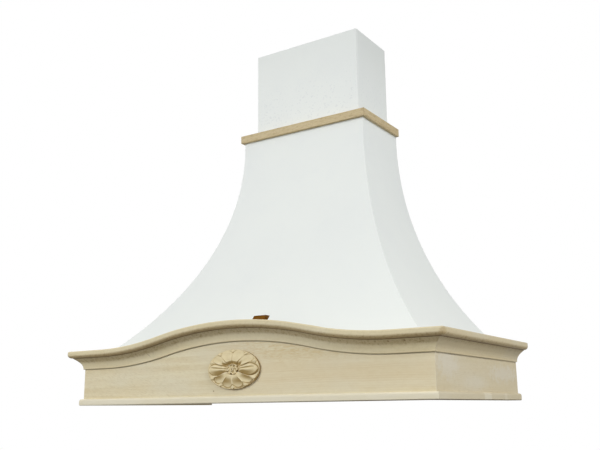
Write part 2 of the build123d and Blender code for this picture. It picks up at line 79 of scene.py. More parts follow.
# ======================================================================= node trees
class Tree:
    """Short ways to place nodes in one material, world or group."""

    def __init__(self, tree):
        self.tree = tree

    def put(self, kind, inputs=None, **settings):
        """Place a node; each input is a value or the socket that feeds it."""
        node = self.tree.nodes.new("ShaderNode" + kind)
        for name, value in settings.items():
            setattr(node, name, value)
        for name, value in (inputs or {}).items():
            if isinstance(value, bpy.types.NodeSocket):
                self.tree.links.new(value, node.inputs[name])
            else:
                node.inputs[name].default_value = value
        return node

    def group(self, group, inputs):
        """The outputs of one of the shared groups."""
        return self.put("Group", inputs, node_tree=group).outputs

    def maths(self, operation, *values, clamp=False):
        """The result of a Math node."""
        return self.put("Math", dict(enumerate(values)), operation=operation,
                        use_clamp=clamp).outputs[0]

    def vector(self, operation, *values):
        """The result of a Vector Math node."""
        node = self.put("VectorMath", dict(enumerate(values)), operation=operation)
        return node.outputs["Value" if operation in ("LENGTH", "DOT_PRODUCT") else "Vector"]

    def axes(self, vector):
        """The three numbers of a vector."""
        return self.put("SeparateXYZ", {0: vector}).outputs[:]

    def join(self, x, y, z):
        """A vector of three numbers."""
        return self.put("CombineXYZ", {0: x, 1: y, 2: z}).outputs[0]

    def noise(self, place, stretch, detail=2.0, roughness=0.5, distortion=0.0):
        """Noise from 0 to 1; stretch is how many swells there are to the metre, each way."""
        node = self.put("TexNoise", {"Vector": self.vector("MULTIPLY", place, stretch),
                                     "Scale": 1.0, "Detail": detail, "Roughness": roughness,
                                     "Distortion": distortion})
        return node.outputs["Fac"]

    def ramp(self, value, low, high, start=0.0, end=1.0):
        """A smooth step from start to end while the value goes from low to high."""
        return self.put("MapRange", {"Value": value, "From Min": low, "From Max": high,
                                     "To Min": start, "To Max": end},
                        interpolation_type="SMOOTHSTEP").outputs["Result"]

    def near(self, value, middle, inner, outer):
        """1 within inner of the middle, falling smoothly to 0 at outer."""
        gap = self.maths("ABSOLUTE", self.maths("SUBTRACT", value, middle))
        return self.ramp(gap, inner, outer, 1.0, 0.0)

    def mix(self, share, first, second):
        """Two colours mixed by a share; 0, 6 and 7 are the colour mix's own inputs."""
        return self.put("Mix", {0: share, 6: first, 7: second}, data_type="RGBA").outputs[2]


def new_group(name, inputs, outputs):
    """An empty group with its sockets.

    Gives the group, its tree, its input sockets and a function that feeds its outputs.
    """
    group = bpy.data.node_groups.new(name, "ShaderNodeTree")
    for title, kind, value in inputs:
        socket = group.interface.new_socket(title, in_out="INPUT", socket_type="NodeSocket" + kind)
        if value is not None:
            socket.default_value = value
    for title, kind in outputs:
        group.interface.new_socket(title, in_out="OUTPUT", socket_type="NodeSocket" + kind)
    tree = Tree(group)
    given = group.nodes.new("NodeGroupInput").outputs
    result = group.nodes.new("NodeGroupOutput")

    def give(**values):
        for title, socket in values.items():
            group.links.new(socket, result.inputs[title])

    return group, tree, given, give


# ======================================================================= shared groups
def build_sawn_wood():
    """Sawn timber whose grain runs along x.

    Growth rings are circles round a far pith: the distance from it, warped by slow noise, is
    divided by the ring width, and the late wood darkens the end of each ring. Long streaks,
    fine fibres and short pores are noise drawn out along the grain, the mottle is short noise
    that lets the grain shimmer, and clouds are broad noise.
    """
    group, t, given, give = new_group(
        "sawn wood",
        [("Place", "Vector", None), ("Pith", "Vector", (0.0, 0.0, -0.2)),
         ("Ring Width", "Float", 0.003), ("Rings", "Float", 0.3), ("Streaks", "Float", 0.3),
         ("Fibres", "Float", 0.3), ("Pores", "Float", 0.0), ("Clouds", "Float", 0.2),
         ("Pale", "Color", None), ("Warm", "Color", None), ("Deep", "Color", None),
         ("Cloud", "Color", None)],
        [("Color", "Color"), ("Height", "Float"), ("Roughness", "Float")])
    place = given["Place"]
    slow = t.put("TexNoise", {"Vector": t.vector("MULTIPLY", place, (1.6, 9.0, 9.0)),
                              "Scale": 1.0, "Detail": 2.0, "Roughness": 0.45})
    warp = t.vector("MULTIPLY", t.vector("SUBTRACT", slow.outputs["Color"], (0.5, 0.5, 0.5)),
                    (0.0, 0.03, 0.03))
    across = t.vector("MULTIPLY", t.vector("SUBTRACT", place, given["Pith"]), (0.0, 1.0, 1.0))
    count = t.maths("DIVIDE", t.vector("LENGTH", t.vector("ADD", across, warp)),
                    given["Ring Width"])
    phase = t.maths("FRACT", count)
    late = t.maths("MULTIPLY", t.ramp(phase, 0.25, 0.88), t.ramp(phase, 0.9, 1.0, 1.0, 0.0))
    strong = t.put("TexNoise", {"W": count, "Scale": 0.23, "Detail": 1.0},
                   noise_dimensions="1D").outputs["Fac"]
    rings = t.maths("MULTIPLY", late, t.ramp(strong, 0.3, 0.7))
    streaks = t.ramp(t.noise(place, (2.6, 95.0, 95.0), 3.0, 0.55, 0.2), 0.33, 0.68)
    fibres = t.noise(place, (26.0, 1100.0, 1100.0), 3.0, 0.6)
    pores = t.ramp(t.noise(place, (70.0, 1500.0, 1500.0), 1.0), 0.60, 0.70)
    clouds = t.ramp(t.noise(place, (5.0, 15.0, 15.0), 3.0, 0.5), 0.42, 0.66)
    mottle = t.ramp(t.noise(place, (55.0, 150.0, 150.0), 4.0, 0.65, 0.5), 0.35, 0.7)
    tone = t.maths("ADD", t.maths("MULTIPLY", rings, given["Rings"]),
                   t.maths("MULTIPLY", streaks, given["Streaks"]))
    tone = t.maths("ADD", tone, t.maths("MULTIPLY", mottle, 0.22))
    tone = t.maths("ADD", tone, t.maths("MULTIPLY", fibres, given["Fibres"]), clamp=True)
    colour = t.mix(tone, given["Pale"], given["Warm"])
    colour = t.mix(t.maths("MULTIPLY", clouds, given["Clouds"]), colour, given["Cloud"])
    pitted = t.maths("MULTIPLY", pores, given["Pores"], clamp=True)
    colour = t.mix(pitted, colour, given["Deep"])
    height = t.maths("SUBTRACT", t.maths("ADD", t.maths("MULTIPLY", fibres, 0.5),
                                         t.maths("MULTIPLY", rings, 0.35)), pitted)
    give(Color=colour, Height=height, Roughness=t.ramp(tone, 0.0, 1.0, 0.74, 0.6))
    return group


def build_mitre():
    """Marks at a mitred front corner, from |x| + y less its value on the mitre plane.

    Line is a thin dark joint on the plane itself, and Arris the strip beside it, where a painted
    highlight goes along the corner.
    """
    group, t, given, give = new_group(
        "mitred corner",
        [("Place", "Vector", None), ("Plane", "Float", 0.24), ("Gap", "Float", 0.0006),
         ("Strip", "Float", 0.0025)],
        [("Line", "Float"), ("Arris", "Float")])
    x, y, _ = t.axes(given["Place"])
    off = t.maths("ABSOLUTE", t.maths("SUBTRACT", t.maths("ADD", t.maths("ABSOLUTE", x), y),
                                      given["Plane"]))
    waver = t.noise(given["Place"], (60.0, 60.0, 60.0), 2.0)
    line = t.maths("LESS_THAN", off, t.maths("MULTIPLY", given["Gap"],
                                             t.maths("ADD", waver, 0.5)))
    arris = t.maths("SUBTRACT", 1.0, t.maths("DIVIDE", off, given["Strip"]), clamp=True)
    give(Line=line, Arris=arris)
    return group


def build_blotch():
    """A mark with a ragged outline: 1 at its middle, falling to 0 at its reach on each axis.

    The distance from the middle is counted in reaches, and noise of so many swells to the
    metre is added to it.
    """
    group, t, given, give = new_group(
        "blotch",
        [("Place", "Vector", None), ("Middle", "Vector", (0.0, 0.0, 0.0)),
         ("Reach", "Vector", (0.01, 0.01, 0.01)), ("Swells", "Float", 220.0),
         ("Ragged", "Float", 0.5)],
        [("Share", "Float")])
    place, swells, ragged = given["Place"], given["Swells"], given["Ragged"]
    gap = t.vector("LENGTH", t.vector("DIVIDE", t.vector("SUBTRACT", place, given["Middle"]),
                                      given["Reach"]))
    waver = t.maths("MULTIPLY", t.noise(place, t.join(swells, swells, swells), 3.0, 0.6),
                    t.maths("MULTIPLY", ragged, 2.0))
    give(Share=t.ramp(t.maths("ADD", gap, waver), t.maths("ADD", ragged, 0.35),
                      t.maths("ADD", ragged, 1.0), 1.0, 0.0))
    return group


def build_foot_shadow_line():
    """The thin painted shadow line where the crown meets the frieze, as a share.

    It follows the crown's underside: level, then two equal arcs up to the middle of the front,
    a hollow one from the end of the arch to half way and a round one from there.
    """
    group, t, given, give = new_group("crown foot shadow line", [("Place", "Vector", None)],
                                      [("Line", "Float")])

    def drop(gap):
        """How far an arc has risen or fallen at a gap from its level end."""
        left = t.maths("SUBTRACT", ARCH_RADIUS ** 2, t.maths("MULTIPLY", gap, gap))
        return t.maths("SUBTRACT", ARCH_RADIUS, t.maths("SQRT", left))

    x, _, z = t.axes(given["Place"])
    half = ARCH_HALF_SPAN / 2
    away = t.maths("ABSOLUTE", x)
    inward = t.maths("MAXIMUM", t.maths("SUBTRACT", ARCH_HALF_SPAN, away), 0.0)
    climbed = t.maths("ADD", drop(t.maths("MINIMUM", inward, half)), drop(half))
    missing = drop(t.maths("MINIMUM", away, half))
    foot = t.maths("ADD", COVE_FOOT, t.maths("SUBTRACT", climbed, missing))
    # Painted shadow line just under the crown's underside.
    give(Line=t.near(z, foot, 0.0005, 0.0018))
    return group


def build_crown_shade_and_grime():
    """Shares of painted shade and grime on a crown piece.

    Out is how far a point stands off the frieze, and Facing how much it looks up. They tell the
    flank of the nosing and the top of the cove, which look down, and the groove: there shade is
    painted. Grime is dirt noise, strongest on the first two.
    """
    group, t, given, give = new_group(
        "crown shade and grime",
        [("Place", "Vector", None), ("Out", "Float", 0.0), ("Facing", "Float", 0.0),
         ("Cove From", "Float", 0.0068), ("Cove To", "Float", 0.0122)],
        [("Flank", "Float"), ("Cove", "Float"), ("Groove", "Float"), ("Grime", "Float")])
    out, facing = given["Out"], given["Facing"]
    # Painted shade on the nosing's downward-facing flank, the cove's top under it and the groove.
    flank = t.maths("MULTIPLY", t.ramp(facing, -0.9, 0.1, 1.0, 0.0),
                    t.ramp(out, 0.0205, 0.0225))
    cove = t.maths("MULTIPLY", t.ramp(facing, -0.6, 0.0, 1.0, 0.0),
                   t.ramp(out, given["Cove From"], given["Cove To"]))
    groove = t.maths("MULTIPLY", t.near(out, GROOVE_OUT, 0.0007, 0.0017),
                     t.ramp(facing, 0.2, 0.6, 1.0, 0.0))
    # Grime: dirt noise, laid mostly over the painted shade of the flank and cove.
    grime = t.ramp(t.noise(given["Place"], (150.0, 150.0, 150.0), 5.0, 0.75, 0.3), 0.46, 0.66)
    grime = t.maths("MULTIPLY", grime, t.maths("ADD", 0.15, t.maths("MAXIMUM", flank, cove)))
    give(Flank=flank, Cove=cove, Groove=groove, Grime=grime)
    return group


def build_bead_underside_shade():
    """Share of painted shade along the bead's lower edge, where it faces down, more and more
    toward the right end.
    """
    group, t, given, give = new_group(
        "bead underside shade", [("Place", "Vector", None), ("Facing", "Float", 0.0)], [("Edge", "Float")])
    # Painted shade on the faces that look down.
    give(Edge=t.maths("MULTIPLY", t.ramp(given["Facing"], -0.75, -0.15, 1.0, 0.0),
                      t.ramp(t.axes(given["Place"])[0], -0.40, 0.40)))
    return group


def build_plies():
    """Glued plies that show on a board's edges, as shares.

    The ply number is the place through the board over the ply thickness; odd plies run across
    and show darker end grain, with a glue line between plies. Facing is the normal's part
    through the board, by which they stay off its faces.
    """
    group, t, given, give = new_group(
        "plies", [("Through", "Float", 0.0), ("Facing", "Float", 0.0)],
        [("Ends", "Float"), ("Glue", "Float")])
    count = t.maths("DIVIDE", t.maths("ADD", given["Through"], PLY_START), PLY_THICKNESS)
    odd = t.maths("GREATER_THAN", t.maths("FRACT", t.maths("MULTIPLY", count, 0.5)), 0.5)
    glue = t.near(t.maths("FRACT", count), 0.0, 0.05, 0.16)
    edge = t.ramp(t.maths("ABSOLUTE", given["Facing"]), 0.4, 0.7, 1.0, 0.0)
    give(Ends=t.maths("MULTIPLY", odd, edge), Glue=t.maths("MULTIPLY", glue, edge))
    return group


def build_paint():
    """Cool white paint, with bare ply where Inside is 1.

    The paint has a fine roller texture, broad faint mottling and faint grey marks of handling, and
    it is painted lighter low down at the right, a painted light. For the chimney it greys toward
    the top, a painted shade, and by Specks it has small dark specks near the neck.
    """
    group, t, given, give = new_group(
        "white paint",
        [("Place", "Vector", None), ("Inside", "Float", 0.0), ("Top Shade", "Float", 0.0),
         ("Specks", "Float", 0.0)],
        [("Color", "Color"), ("Height", "Float"), ("Roughness", "Float")])
    place = given["Place"]
    x, _, z = t.axes(place)
    roller = t.noise(place, (260.0, 260.0, 260.0), 3.0, 0.6)
    broad = t.ramp(t.noise(place, (4.0, 4.0, 3.0), 3.0, 0.5), 0.35, 0.7)
    handled = t.ramp(t.noise(place, (14.0, 14.0, 14.0), 4.0, 0.6, 0.4), 0.45, 0.75)
    # Painted light: the paint is lighter low down at the right.
    painted_light = t.maths("MULTIPLY", t.ramp(x, -0.3, 0.45), t.ramp(z, 0.12, 0.5, 1.0, 0.0))
    # Painted shade: the chimney's paint greys toward its top.
    grey = t.maths("MULTIPLY", t.ramp(z, 0.70, 0.98), given["Top Shade"])
    specks = t.ramp(t.noise(place, (190.0, 190.0, 190.0), 2.0, 0.5), 0.60, 0.68)
    specks = t.maths("MULTIPLY", specks, t.ramp(z, 0.77, 0.86, 0.36, 0.04))
    colour = t.mix(broad, tint(230, 234, 231), tint(227, 231, 229))
    colour = t.mix(t.maths("MULTIPLY", handled, 0.15), colour, tint(219, 224, 226))
    # Painted light low at the right, then painted shade toward the chimney's top.
    colour = t.mix(t.maths("MULTIPLY", painted_light, 0.6), colour, tint(238, 242, 238))
    colour = t.mix(grey, colour, tint(206, 210, 207))
    colour = t.mix(t.maths("MULTIPLY", specks, given["Specks"]), colour, tint(204, 209, 212))
    bare = t.mix(t.noise(place, (40.0, 40.0, 6.0), 3.0), tint(222, 206, 172),
                 tint(206, 186, 148))
    colour = t.mix(given["Inside"], colour, bare)
    height = t.maths("ADD", t.maths("MULTIPLY", roller, 0.8), t.maths("MULTIPLY", broad, 0.2))
    give(Color=colour, Height=height, Roughness=t.ramp(roller, 0.3, 0.7, 0.55, 0.66))
    return group


SAWN_WOOD = build_sawn_wood()
MITRE = build_mitre()
BLOTCH = build_blotch()
FOOT_SHADOW_LINE = build_foot_shadow_line()
CROWN_SHADE_AND_GRIME = build_crown_shade_and_grime()
BEAD_UNDERSIDE_SHADE = build_bead_underside_shade()
PLIES = build_plies()
PAINT = build_paint()


# ======================================================================= materials
# Turns that bring the grain, which the shared group lays along x, along each axis
ALONG = {"x": (0.0, 0.0, 0.0), "y": (0.0, 0.0, -pi / 2), "z": (0.0, pi / 2, 0.0)}
WOOD_BUMP = 0.0002                                  # full height of the grain's relief, in metres
WOOD_GLOSS = 0.35


def bare_material(name):
    """A material without nodes; gives it and its tree."""
    material = bpy.data.materials.new(name)
    material.use_nodes = True
    material.node_tree.nodes.clear()
    return material, Tree(material.node_tree)


def new_material(name):
    """A material with a Principled shader; gives it, its tree, the shader and object places."""
    material, t = bare_material(name)
    shader = t.put("BsdfPrincipled")
    t.put("OutputMaterial", {"Surface": shader.outputs[0]})
    return material, t, shader, t.put("TexCoord").outputs["Object"]


def finish_shader(t, shader, colour, roughness, height, depth, strength=1.0):
    """Feed the shader's colour and roughness, and a bump whose full height is depth."""
    links = t.tree.links
    links.new(colour, shader.inputs["Base Color"])
    links.new(roughness, shader.inputs["Roughness"])
    bump = t.put("Bump", {"Height": height, "Strength": strength, "Distance": depth})
    links.new(bump.outputs[0], shader.inputs["Normal"])


def wood(name, along, shift, palette, rings=0.3, streaks=0.3, fibres=0.25, pores=0.0, clouds=0.2,
         ring_width=0.003, pith=(0.0, 0.05, -0.2), gloss=WOOD_GLOSS, marks=None):
    """A wood finish whose grain runs along an axis; marks adds what one piece has of its own."""
    material, t, shader, place = new_material(name)
    turned = t.put("Mapping", {"Vector": place, "Location": shift, "Rotation": ALONG[along]})
    pale, warm, deep, cloud = palette
    out = t.group(SAWN_WOOD, {
        "Place": turned.outputs[0], "Pith": pith, "Ring Width": ring_width, "Rings": rings,
        "Streaks": streaks, "Fibres": fibres, "Pores": pores, "Clouds": clouds, "Pale": pale,
        "Warm": warm, "Deep": deep, "Cloud": cloud})
    colour, height = out["Color"], out["Height"]
    if marks:
        colour, height = marks(t, place, colour, height)
    finish_shader(t, shader, colour, out["Roughness"], height, WOOD_BUMP)
    shader.inputs["Specular IOR Level"].default_value = gloss
    return material


def mitred(plane, line, arris):
    """Marks at the mitred corner, of the given strengths: a dark joint on the plane, and a painted
    highlight on the arris beside it."""
    def marks(t, place, colour, height):
        seam = t.group(MITRE, {"Place": place, "Plane": plane})
        # Painted highlight along the arris; the dark joint is the wood's own.
        pale = t.mix(t.maths("MULTIPLY", seam["Arris"], arris), colour, tint(232, 224, 200))
        dark = t.mix(t.maths("MULTIPLY", seam["Line"], line), pale, tint(120, 100, 66))
        return dark, t.maths("SUBTRACT", height, t.maths("MULTIPLY", seam["Line"], 2.0))
    return marks


WARM_PALETTE = (tint(228, 220, 192), tint(208, 192, 152), tint(150, 122, 80),
                tint(216, 211, 190))
# The side frieze's palette: its own cooler tone, and darker than the front's, which paints the
# side's shade into it.
COOL_SHADED_PALETTE = (tint(209, 198, 170), tint(197, 183, 148), tint(150, 126, 88),
                tint(214, 210, 196))
CROWN_PALETTE = (tint(222, 211, 178), tint(208, 193, 151), tint(146, 120, 78),
                 tint(213, 206, 182))
# The front crown's palette made darker: the side's shade painted in.
SIDE_CROWN_SHADED_PALETTE = (tint(207, 195, 164), tint(193, 177, 138), tint(140, 114, 74),
                      tint(202, 196, 178))
BEAD_PALETTE = (tint(230, 223, 201), tint(218, 209, 178), tint(160, 138, 100),
                tint(228, 224, 208))
# The front bead's palette made darker: the side's shade painted in.
SIDE_BEAD_SHADED_PALETTE = (tint(208, 198, 172), tint(192, 179, 146), tint(150, 128, 90),
                     tint(216, 210, 192))
BAND_PALETTE = (tint(207, 192, 156), tint(180, 160, 118), tint(132, 106, 66),
                tint(198, 184, 150))
CARVED_PALETTE = (tint(227, 214, 176), tint(206, 186, 138), tint(150, 120, 70),
                  tint(214, 202, 168))


def blotch(t, place, middle, reach, ragged):
    """The share of a blotch whose outline has about two swells to its shortest reach."""
    swells = 2.2 / max(min(reach), 0.001)
    return t.group(BLOTCH, {"Place": place, "Middle": middle, "Reach": reach, "Swells": swells,
                            "Ragged": ragged})["Share"]


def foot_shadow_line(t, place, strength, colour):
    """The colour with a painted shadow line at the crown's foot."""
    line = t.group(FOOT_SHADOW_LINE, {"Place": place})["Line"]
    return t.mix(t.maths("MULTIPLY", line, strength), colour, tint(88, 68, 36))


def facing_up(t):
    """How much the surface faces up, from -1 to 1."""
    return t.axes(t.put("TexCoord").outputs["Normal"])[2]


def front_frieze_marks(t, place, colour, height):
    """The front frieze's own marks: a pit, curly figure right of the middle, flecks at left, a
    warmer band along the right half, and a painted shadow line under the crown.

    The flecks slant, so their noise is read with the height raised by a share of the place
    along the board.
    """
    colour, height = mitred(FRIEZE_MITRE, 0.08, 0.6)(t, place, colour, height)
    x, y, z = t.axes(place)
    pit = blotch(t, place, PIT, (0.0021, 0.02, 0.0016), 0.1)
    curl = t.noise(place, (42.0, 20.0, 300.0), 3.0, 0.55, 1.6)
    curl = t.maths("MULTIPLY", t.ramp(curl, 0.45, 0.60),
                   blotch(t, place, (0.17, -0.21, 0.112), (0.24, 0.1, 0.045), 0.3))
    slanted = t.join(x, y, t.maths("ADD", z, t.maths("MULTIPLY", x, 0.3)))
    fleck = t.ramp(t.noise(slanted, (90.0, 20.0, 520.0), 2.0, 0.6, 0.4), 0.5, 0.68)
    fleck = t.maths("MULTIPLY", fleck, t.ramp(x, -0.18, -0.06, 1.0, 0.25))
    colour = t.mix(t.maths("MULTIPLY", fleck, 0.34), colour, tint(192, 178, 142))
    warm = t.maths("MULTIPLY", t.near(z, 0.056, 0.012, 0.046), t.ramp(x, -0.08, 0.10))
    colour = t.mix(t.maths("MULTIPLY", warm, 0.3), colour, tint(228, 212, 178))
    colour = t.mix(t.maths("MULTIPLY", curl, 0.5), colour, tint(204, 178, 124))
    # Painted shadow line under the crown.
    colour = foot_shadow_line(t, place, 0.5, colour)
    colour = t.mix(t.maths("MULTIPLY", pit, 0.8), colour, tint(118, 92, 56))
    return colour, t.maths("SUBTRACT", height, t.maths("MULTIPLY", pit, 2.0))


def side_frieze_marks(t, place, colour, height):
    """The side frieze's whitish clouds, two broad ones and a faint low one."""
    colour, height = mitred(FRIEZE_MITRE, 0.08, 0.3)(t, place, colour, height)
    front = blotch(t, place, (0.45, -0.155, 0.064), (0.1, 0.070, 0.030), 1.1)
    back = blotch(t, place, (0.45, 0.150, 0.056), (0.1, 0.110, 0.024), 1.1)
    low = blotch(t, place, (0.45, -0.02, 0.030), (0.1, 0.090, 0.018), 1.1)
    cloud = t.maths("MAXIMUM", front, t.maths("MAXIMUM", back, t.maths("MULTIPLY", low, 0.4)))
    flecks = t.ramp(t.noise(place, (200.0, 60.0, 260.0), 3.0, 0.6), 0.5, 0.7)
    colour = t.mix(t.maths("MULTIPLY", flecks, 0.25), colour, tint(186, 172, 138))
    return t.mix(t.maths("MULTIPLY", cloud, 0.42), colour, tint(214, 210, 198)), height


def crown_marks(side):
    """Marks of a crown piece: knife specks and a scratch in the front's cove, a brown corner
    patch, grime, and painted shade along its foot, in the groove, on the nosing's flank and at the
    top of the cove."""
    flank_share, cove_share, foot_shadow_share = (0.2, 0.36, 0.2) if side else (0.5, 0.42, 0.5)
    cove_from, cove_to = (0.011, 0.0205) if side else (0.0068, 0.0122)

    def marks(t, place, colour, height):
        colour, height = mitred(FRIEZE_MITRE, 0.12, 0.2)(t, place, colour, height)
        x, y, z = t.axes(place)
        out = (t.maths("SUBTRACT", t.maths("ABSOLUTE", x), FRIEZE_HIGH.x) if side
               else t.maths("SUBTRACT", FRIEZE_FACE, y))
        shade_and_grime = t.group(CROWN_SHADE_AND_GRIME, {"Place": place, "Out": out, "Facing": facing_up(t),
                                    "Cove From": cove_from, "Cove To": cove_to})
        # Painted shade on the flank and the cove's top, a painted shadow line at the foot, painted
        # shade in the groove, then grime.
        colour = t.mix(t.maths("MULTIPLY", shade_and_grime["Flank"], flank_share), colour,
                       tint(140, 110, 56))
        colour = t.mix(t.maths("MULTIPLY", shade_and_grime["Cove"], cove_share), colour,
                       tint(140, 114, 64))
        colour = foot_shadow_line(t, place, foot_shadow_share, colour)
        colour = t.mix(t.maths("MULTIPLY", shade_and_grime["Groove"], 0.8), colour, tint(94, 70, 32))
        colour = t.mix(t.maths("MULTIPLY", shade_and_grime["Grime"], 0.5), colour, tint(130, 106, 62))
        if not side:
            for speck, strength in SPECKS:
                knife = blotch(t, place, speck, (0.0030, 0.03, 0.0017), 0.5)
                colour = t.mix(t.maths("MULTIPLY", knife, strength), colour, tint(104, 74, 34))
            slant = 0.9
            leaning = t.join(t.maths("ADD", x, t.maths("MULTIPLY", z, slant)), y, z)
            cut = blotch(t, leaning, (SCRATCH[0] + slant * SCRATCH[2], *SCRATCH[1:]),
                         (0.0014, 0.03, 0.006), 0.3)
            colour = t.mix(t.maths("MULTIPLY", cut, 0.5), colour, tint(116, 96, 62))
            height = t.maths("SUBTRACT", height, cut)
        corner = blotch(t, place, BROWN_CORNER, (0.010, 0.016, 0.010), 0.7)
        return t.mix(t.maths("MULTIPLY", corner, 0.4), colour, tint(168, 138, 80)), height
    return marks


def bead_marks(t, place, colour, height):
    """The mitred corner, and painted shade along the bead's lower edge, where it faces down."""
    colour, height = mitred(FRIEZE_MITRE, 0.12, 0.1)(t, place, colour, height)
    edge = t.group(BEAD_UNDERSIDE_SHADE, {"Place": place, "Facing": facing_up(t)})["Edge"]
    # Painted shade along the lower edge, where it faces down.
    return t.mix(edge, colour, tint(84, 66, 36)), height


def side_bead_marks(t, place, colour, height):
    """The bead's marks, and two paler lengths where it was planed again."""
    y = t.axes(place)[1]
    pale = t.maths("ADD", t.near(y, 0.028, 0.016, 0.024),
                   t.maths("MULTIPLY", t.near(y, 0.137, 0.003, 0.012), 0.5))
    colour = t.mix(t.maths("MULTIPLY", pale, 0.5), colour, tint(226, 220, 200))
    return bead_marks(t, place, colour, height)


front_frieze_wood = wood("bare front frieze", "x", (0.31, 0.07, 0.02), WARM_PALETTE,
                         rings=0.28, streaks=0.42, fibres=0.3, clouds=0.35,
                         marks=front_frieze_marks)
side_frieze_wood = wood("bare side frieze", "y", (1.3, 0.4, 0.1), COOL_SHADED_PALETTE, rings=0.15,
                        streaks=0.3, fibres=0.25, clouds=0.3, marks=side_frieze_marks)
front_crown_wood = wood("bare front crown", "x", (2.1, 0.2, 0.35), CROWN_PALETTE, rings=0.18,
                        streaks=0.3, fibres=0.3, clouds=0.35, marks=crown_marks(False))
side_crown_wood = wood("bare side crown", "y", (0.9, 1.1, 0.6), SIDE_CROWN_SHADED_PALETTE, rings=0.18,
                       streaks=0.3, fibres=0.3, clouds=0.4, marks=crown_marks(True))
front_bead_wood = wood("bare front bead", "x", (3.1, 0.5, 0.9), BEAD_PALETTE, rings=0.12,
                       streaks=0.35, fibres=0.25, clouds=0.3, marks=bead_marks)
side_bead_wood = wood("bare side bead", "y", (4.1, 0.8, 1.2), SIDE_BEAD_SHADED_PALETTE, rings=0.12,
                      streaks=0.35, fibres=0.25, clouds=0.3, marks=side_bead_marks)
front_band_wood = wood("bare front band", "x", (5.1, 1.3, 1.5), BAND_PALETTE, rings=0.35,
                       streaks=0.5, fibres=0.35, pores=0.8, clouds=0.1,
                       marks=mitred(BAND_MITRE, 0.7, 0.0))
side_band_wood = wood("bare side band", "y", (6.1, 1.7, 1.9), BAND_PALETTE, rings=0.35,
                      streaks=0.5, fibres=0.35, pores=0.8, clouds=0.1,
                      marks=mitred(BAND_MITRE, 0.7, 0.0))

PINE_PALETTE = (tint(232, 212, 168), tint(208, 168, 108), tint(150, 104, 60),
                tint(226, 208, 170))
pine = {axis: wood(f"softwood along {axis}", axis, (0.7, 2.3, 2.9), PINE_PALETTE, rings=0.75,
                   streaks=0.25, fibres=0.2, clouds=0.1, ring_width=0.0045,
                   pith=(0.0, 0.03, -0.12)) for axis in "xyz"}

STAIN_PALETTE = (tint(124, 80, 6), tint(86, 52, 2), tint(46, 26, 2), tint(106, 66, 4))
stained_wood = wood("stained wood", "x", (0.2, 3.3, 3.7), STAIN_PALETTE, rings=0.6,
                    streaks=0.5, fibres=0.3, pores=0.3, clouds=0.3, ring_width=0.002,
                    gloss=0.12)


def plywood(name, axis):
    """Birch plywood whose thickness is along an axis: pale face veneers, and plies that show as
    thin stripes on the edges."""
    material, t, shader, place = new_material(name)
    turned = t.put("Mapping", {"Vector": place, "Location": (0.4, 0.9, 4.4),
                               "Rotation": ALONG["x" if axis != "x" else "z"]})
    out = t.group(SAWN_WOOD, {
        "Place": turned.outputs[0], "Pith": (0.0, 0.2, -0.3), "Ring Width": 0.012, "Rings": 0.3,
        "Streaks": 0.35, "Fibres": 0.25, "Pores": 0.15, "Clouds": 0.2,
        "Pale": tint(228, 212, 178), "Warm": tint(214, 192, 150),
        "Deep": tint(170, 140, 96), "Cloud": tint(222, 206, 174)})
    through = "xyz".index(axis)
    normal = t.put("TexCoord").outputs["Normal"]
    plies = t.group(PLIES, {"Through": t.axes(place)[through],
                            "Facing": t.axes(normal)[through]})
    colour = t.mix(t.maths("MULTIPLY", plies["Ends"], 0.55), out["Color"], tint(176, 142, 98))
    glue = t.maths("MULTIPLY", plies["Glue"], 0.6)
    colour = t.mix(glue, colour, tint(112, 84, 54))
    height = t.maths("SUBTRACT", out["Height"], glue)
    finish_shader(t, shader, colour, out["Roughness"], height, WOOD_BUMP)
    shader.inputs["Specular IOR Level"].default_value = WOOD_GLOSS
    return material


ply = {axis: plywood(f"birch ply across {axis}", axis) for axis in "xyz"}


def white_paint(name, outward, top_shade=0.0):
    """White paint on the faces that don't look inward, with bare ply behind.

    The last argument is for the chimney: it paints shade that greys the paint toward its top, and
    turns on specks near the neck.
    """
    material, t, shader, place = new_material(name)
    normal = t.put("TexCoord").outputs["Normal"]
    inside = t.ramp(t.vector("DOT_PRODUCT", normal, outward), -0.45, -0.25, 1.0, 0.0)
    out = t.group(PAINT, {"Place": place, "Inside": inside, "Top Shade": top_shade,
                          "Specks": 1.0 if top_shade else 0.0})
    finish_shader(t, shader, out["Color"], out["Roughness"], out["Height"], 0.0003, 0.4)
    shader.inputs["Specular IOR Level"].default_value = 0.4
    return material


def zinc_steel():
    """Bright zinc plate with a faint spangle."""
    material, t, shader, place = new_material("zinc plated steel")
    spangle = t.noise(place, (900.0, 900.0, 900.0), 2.0, 0.6)
    colour = t.mix(spangle, tint(196, 198, 200), tint(168, 170, 172))
    finish_shader(t, shader, colour, t.ramp(spangle, 0.3, 0.7, 0.28, 0.46), spangle, 0.00005)
    shader.inputs["Metallic"].default_value = 1.0
    return material


# ======================================================================= rosette
# Its carving is worked out in millimetres. The petals' edges go round the oval in degrees of
# its own turn, and make two wide side petals and eight narrow ones.
HALF_WIDTH, HALF_HEIGHT = 67.0, 40.5
GROUND = 5.8                                        # of the oval, over the frieze
FLATTENED = 0.72                                    # share of the petals' height that is kept
PETAL_EDGES = np.array([-30.0, 26, 56, 90, 124, 154, 208, 238, 270, 302, 330])
WIDE_FROM = 40                                      # degrees


def smooth(value, low, high):
    """The smooth step from 0 to 1 while the value goes from low to high."""
    share = np.clip((value - low) / (high - low), 0, 1)
    return share * share * (3 - 2 * share)


def swell(value, middle, width):
    """The bell curve exp(-d^2) of the distance d from the middle over the width."""
    return np.exp(-((value - middle) / width) ** 2)


def blend(first, second, share):
    """first turned into second by a share."""
    return first + (second - first) * share


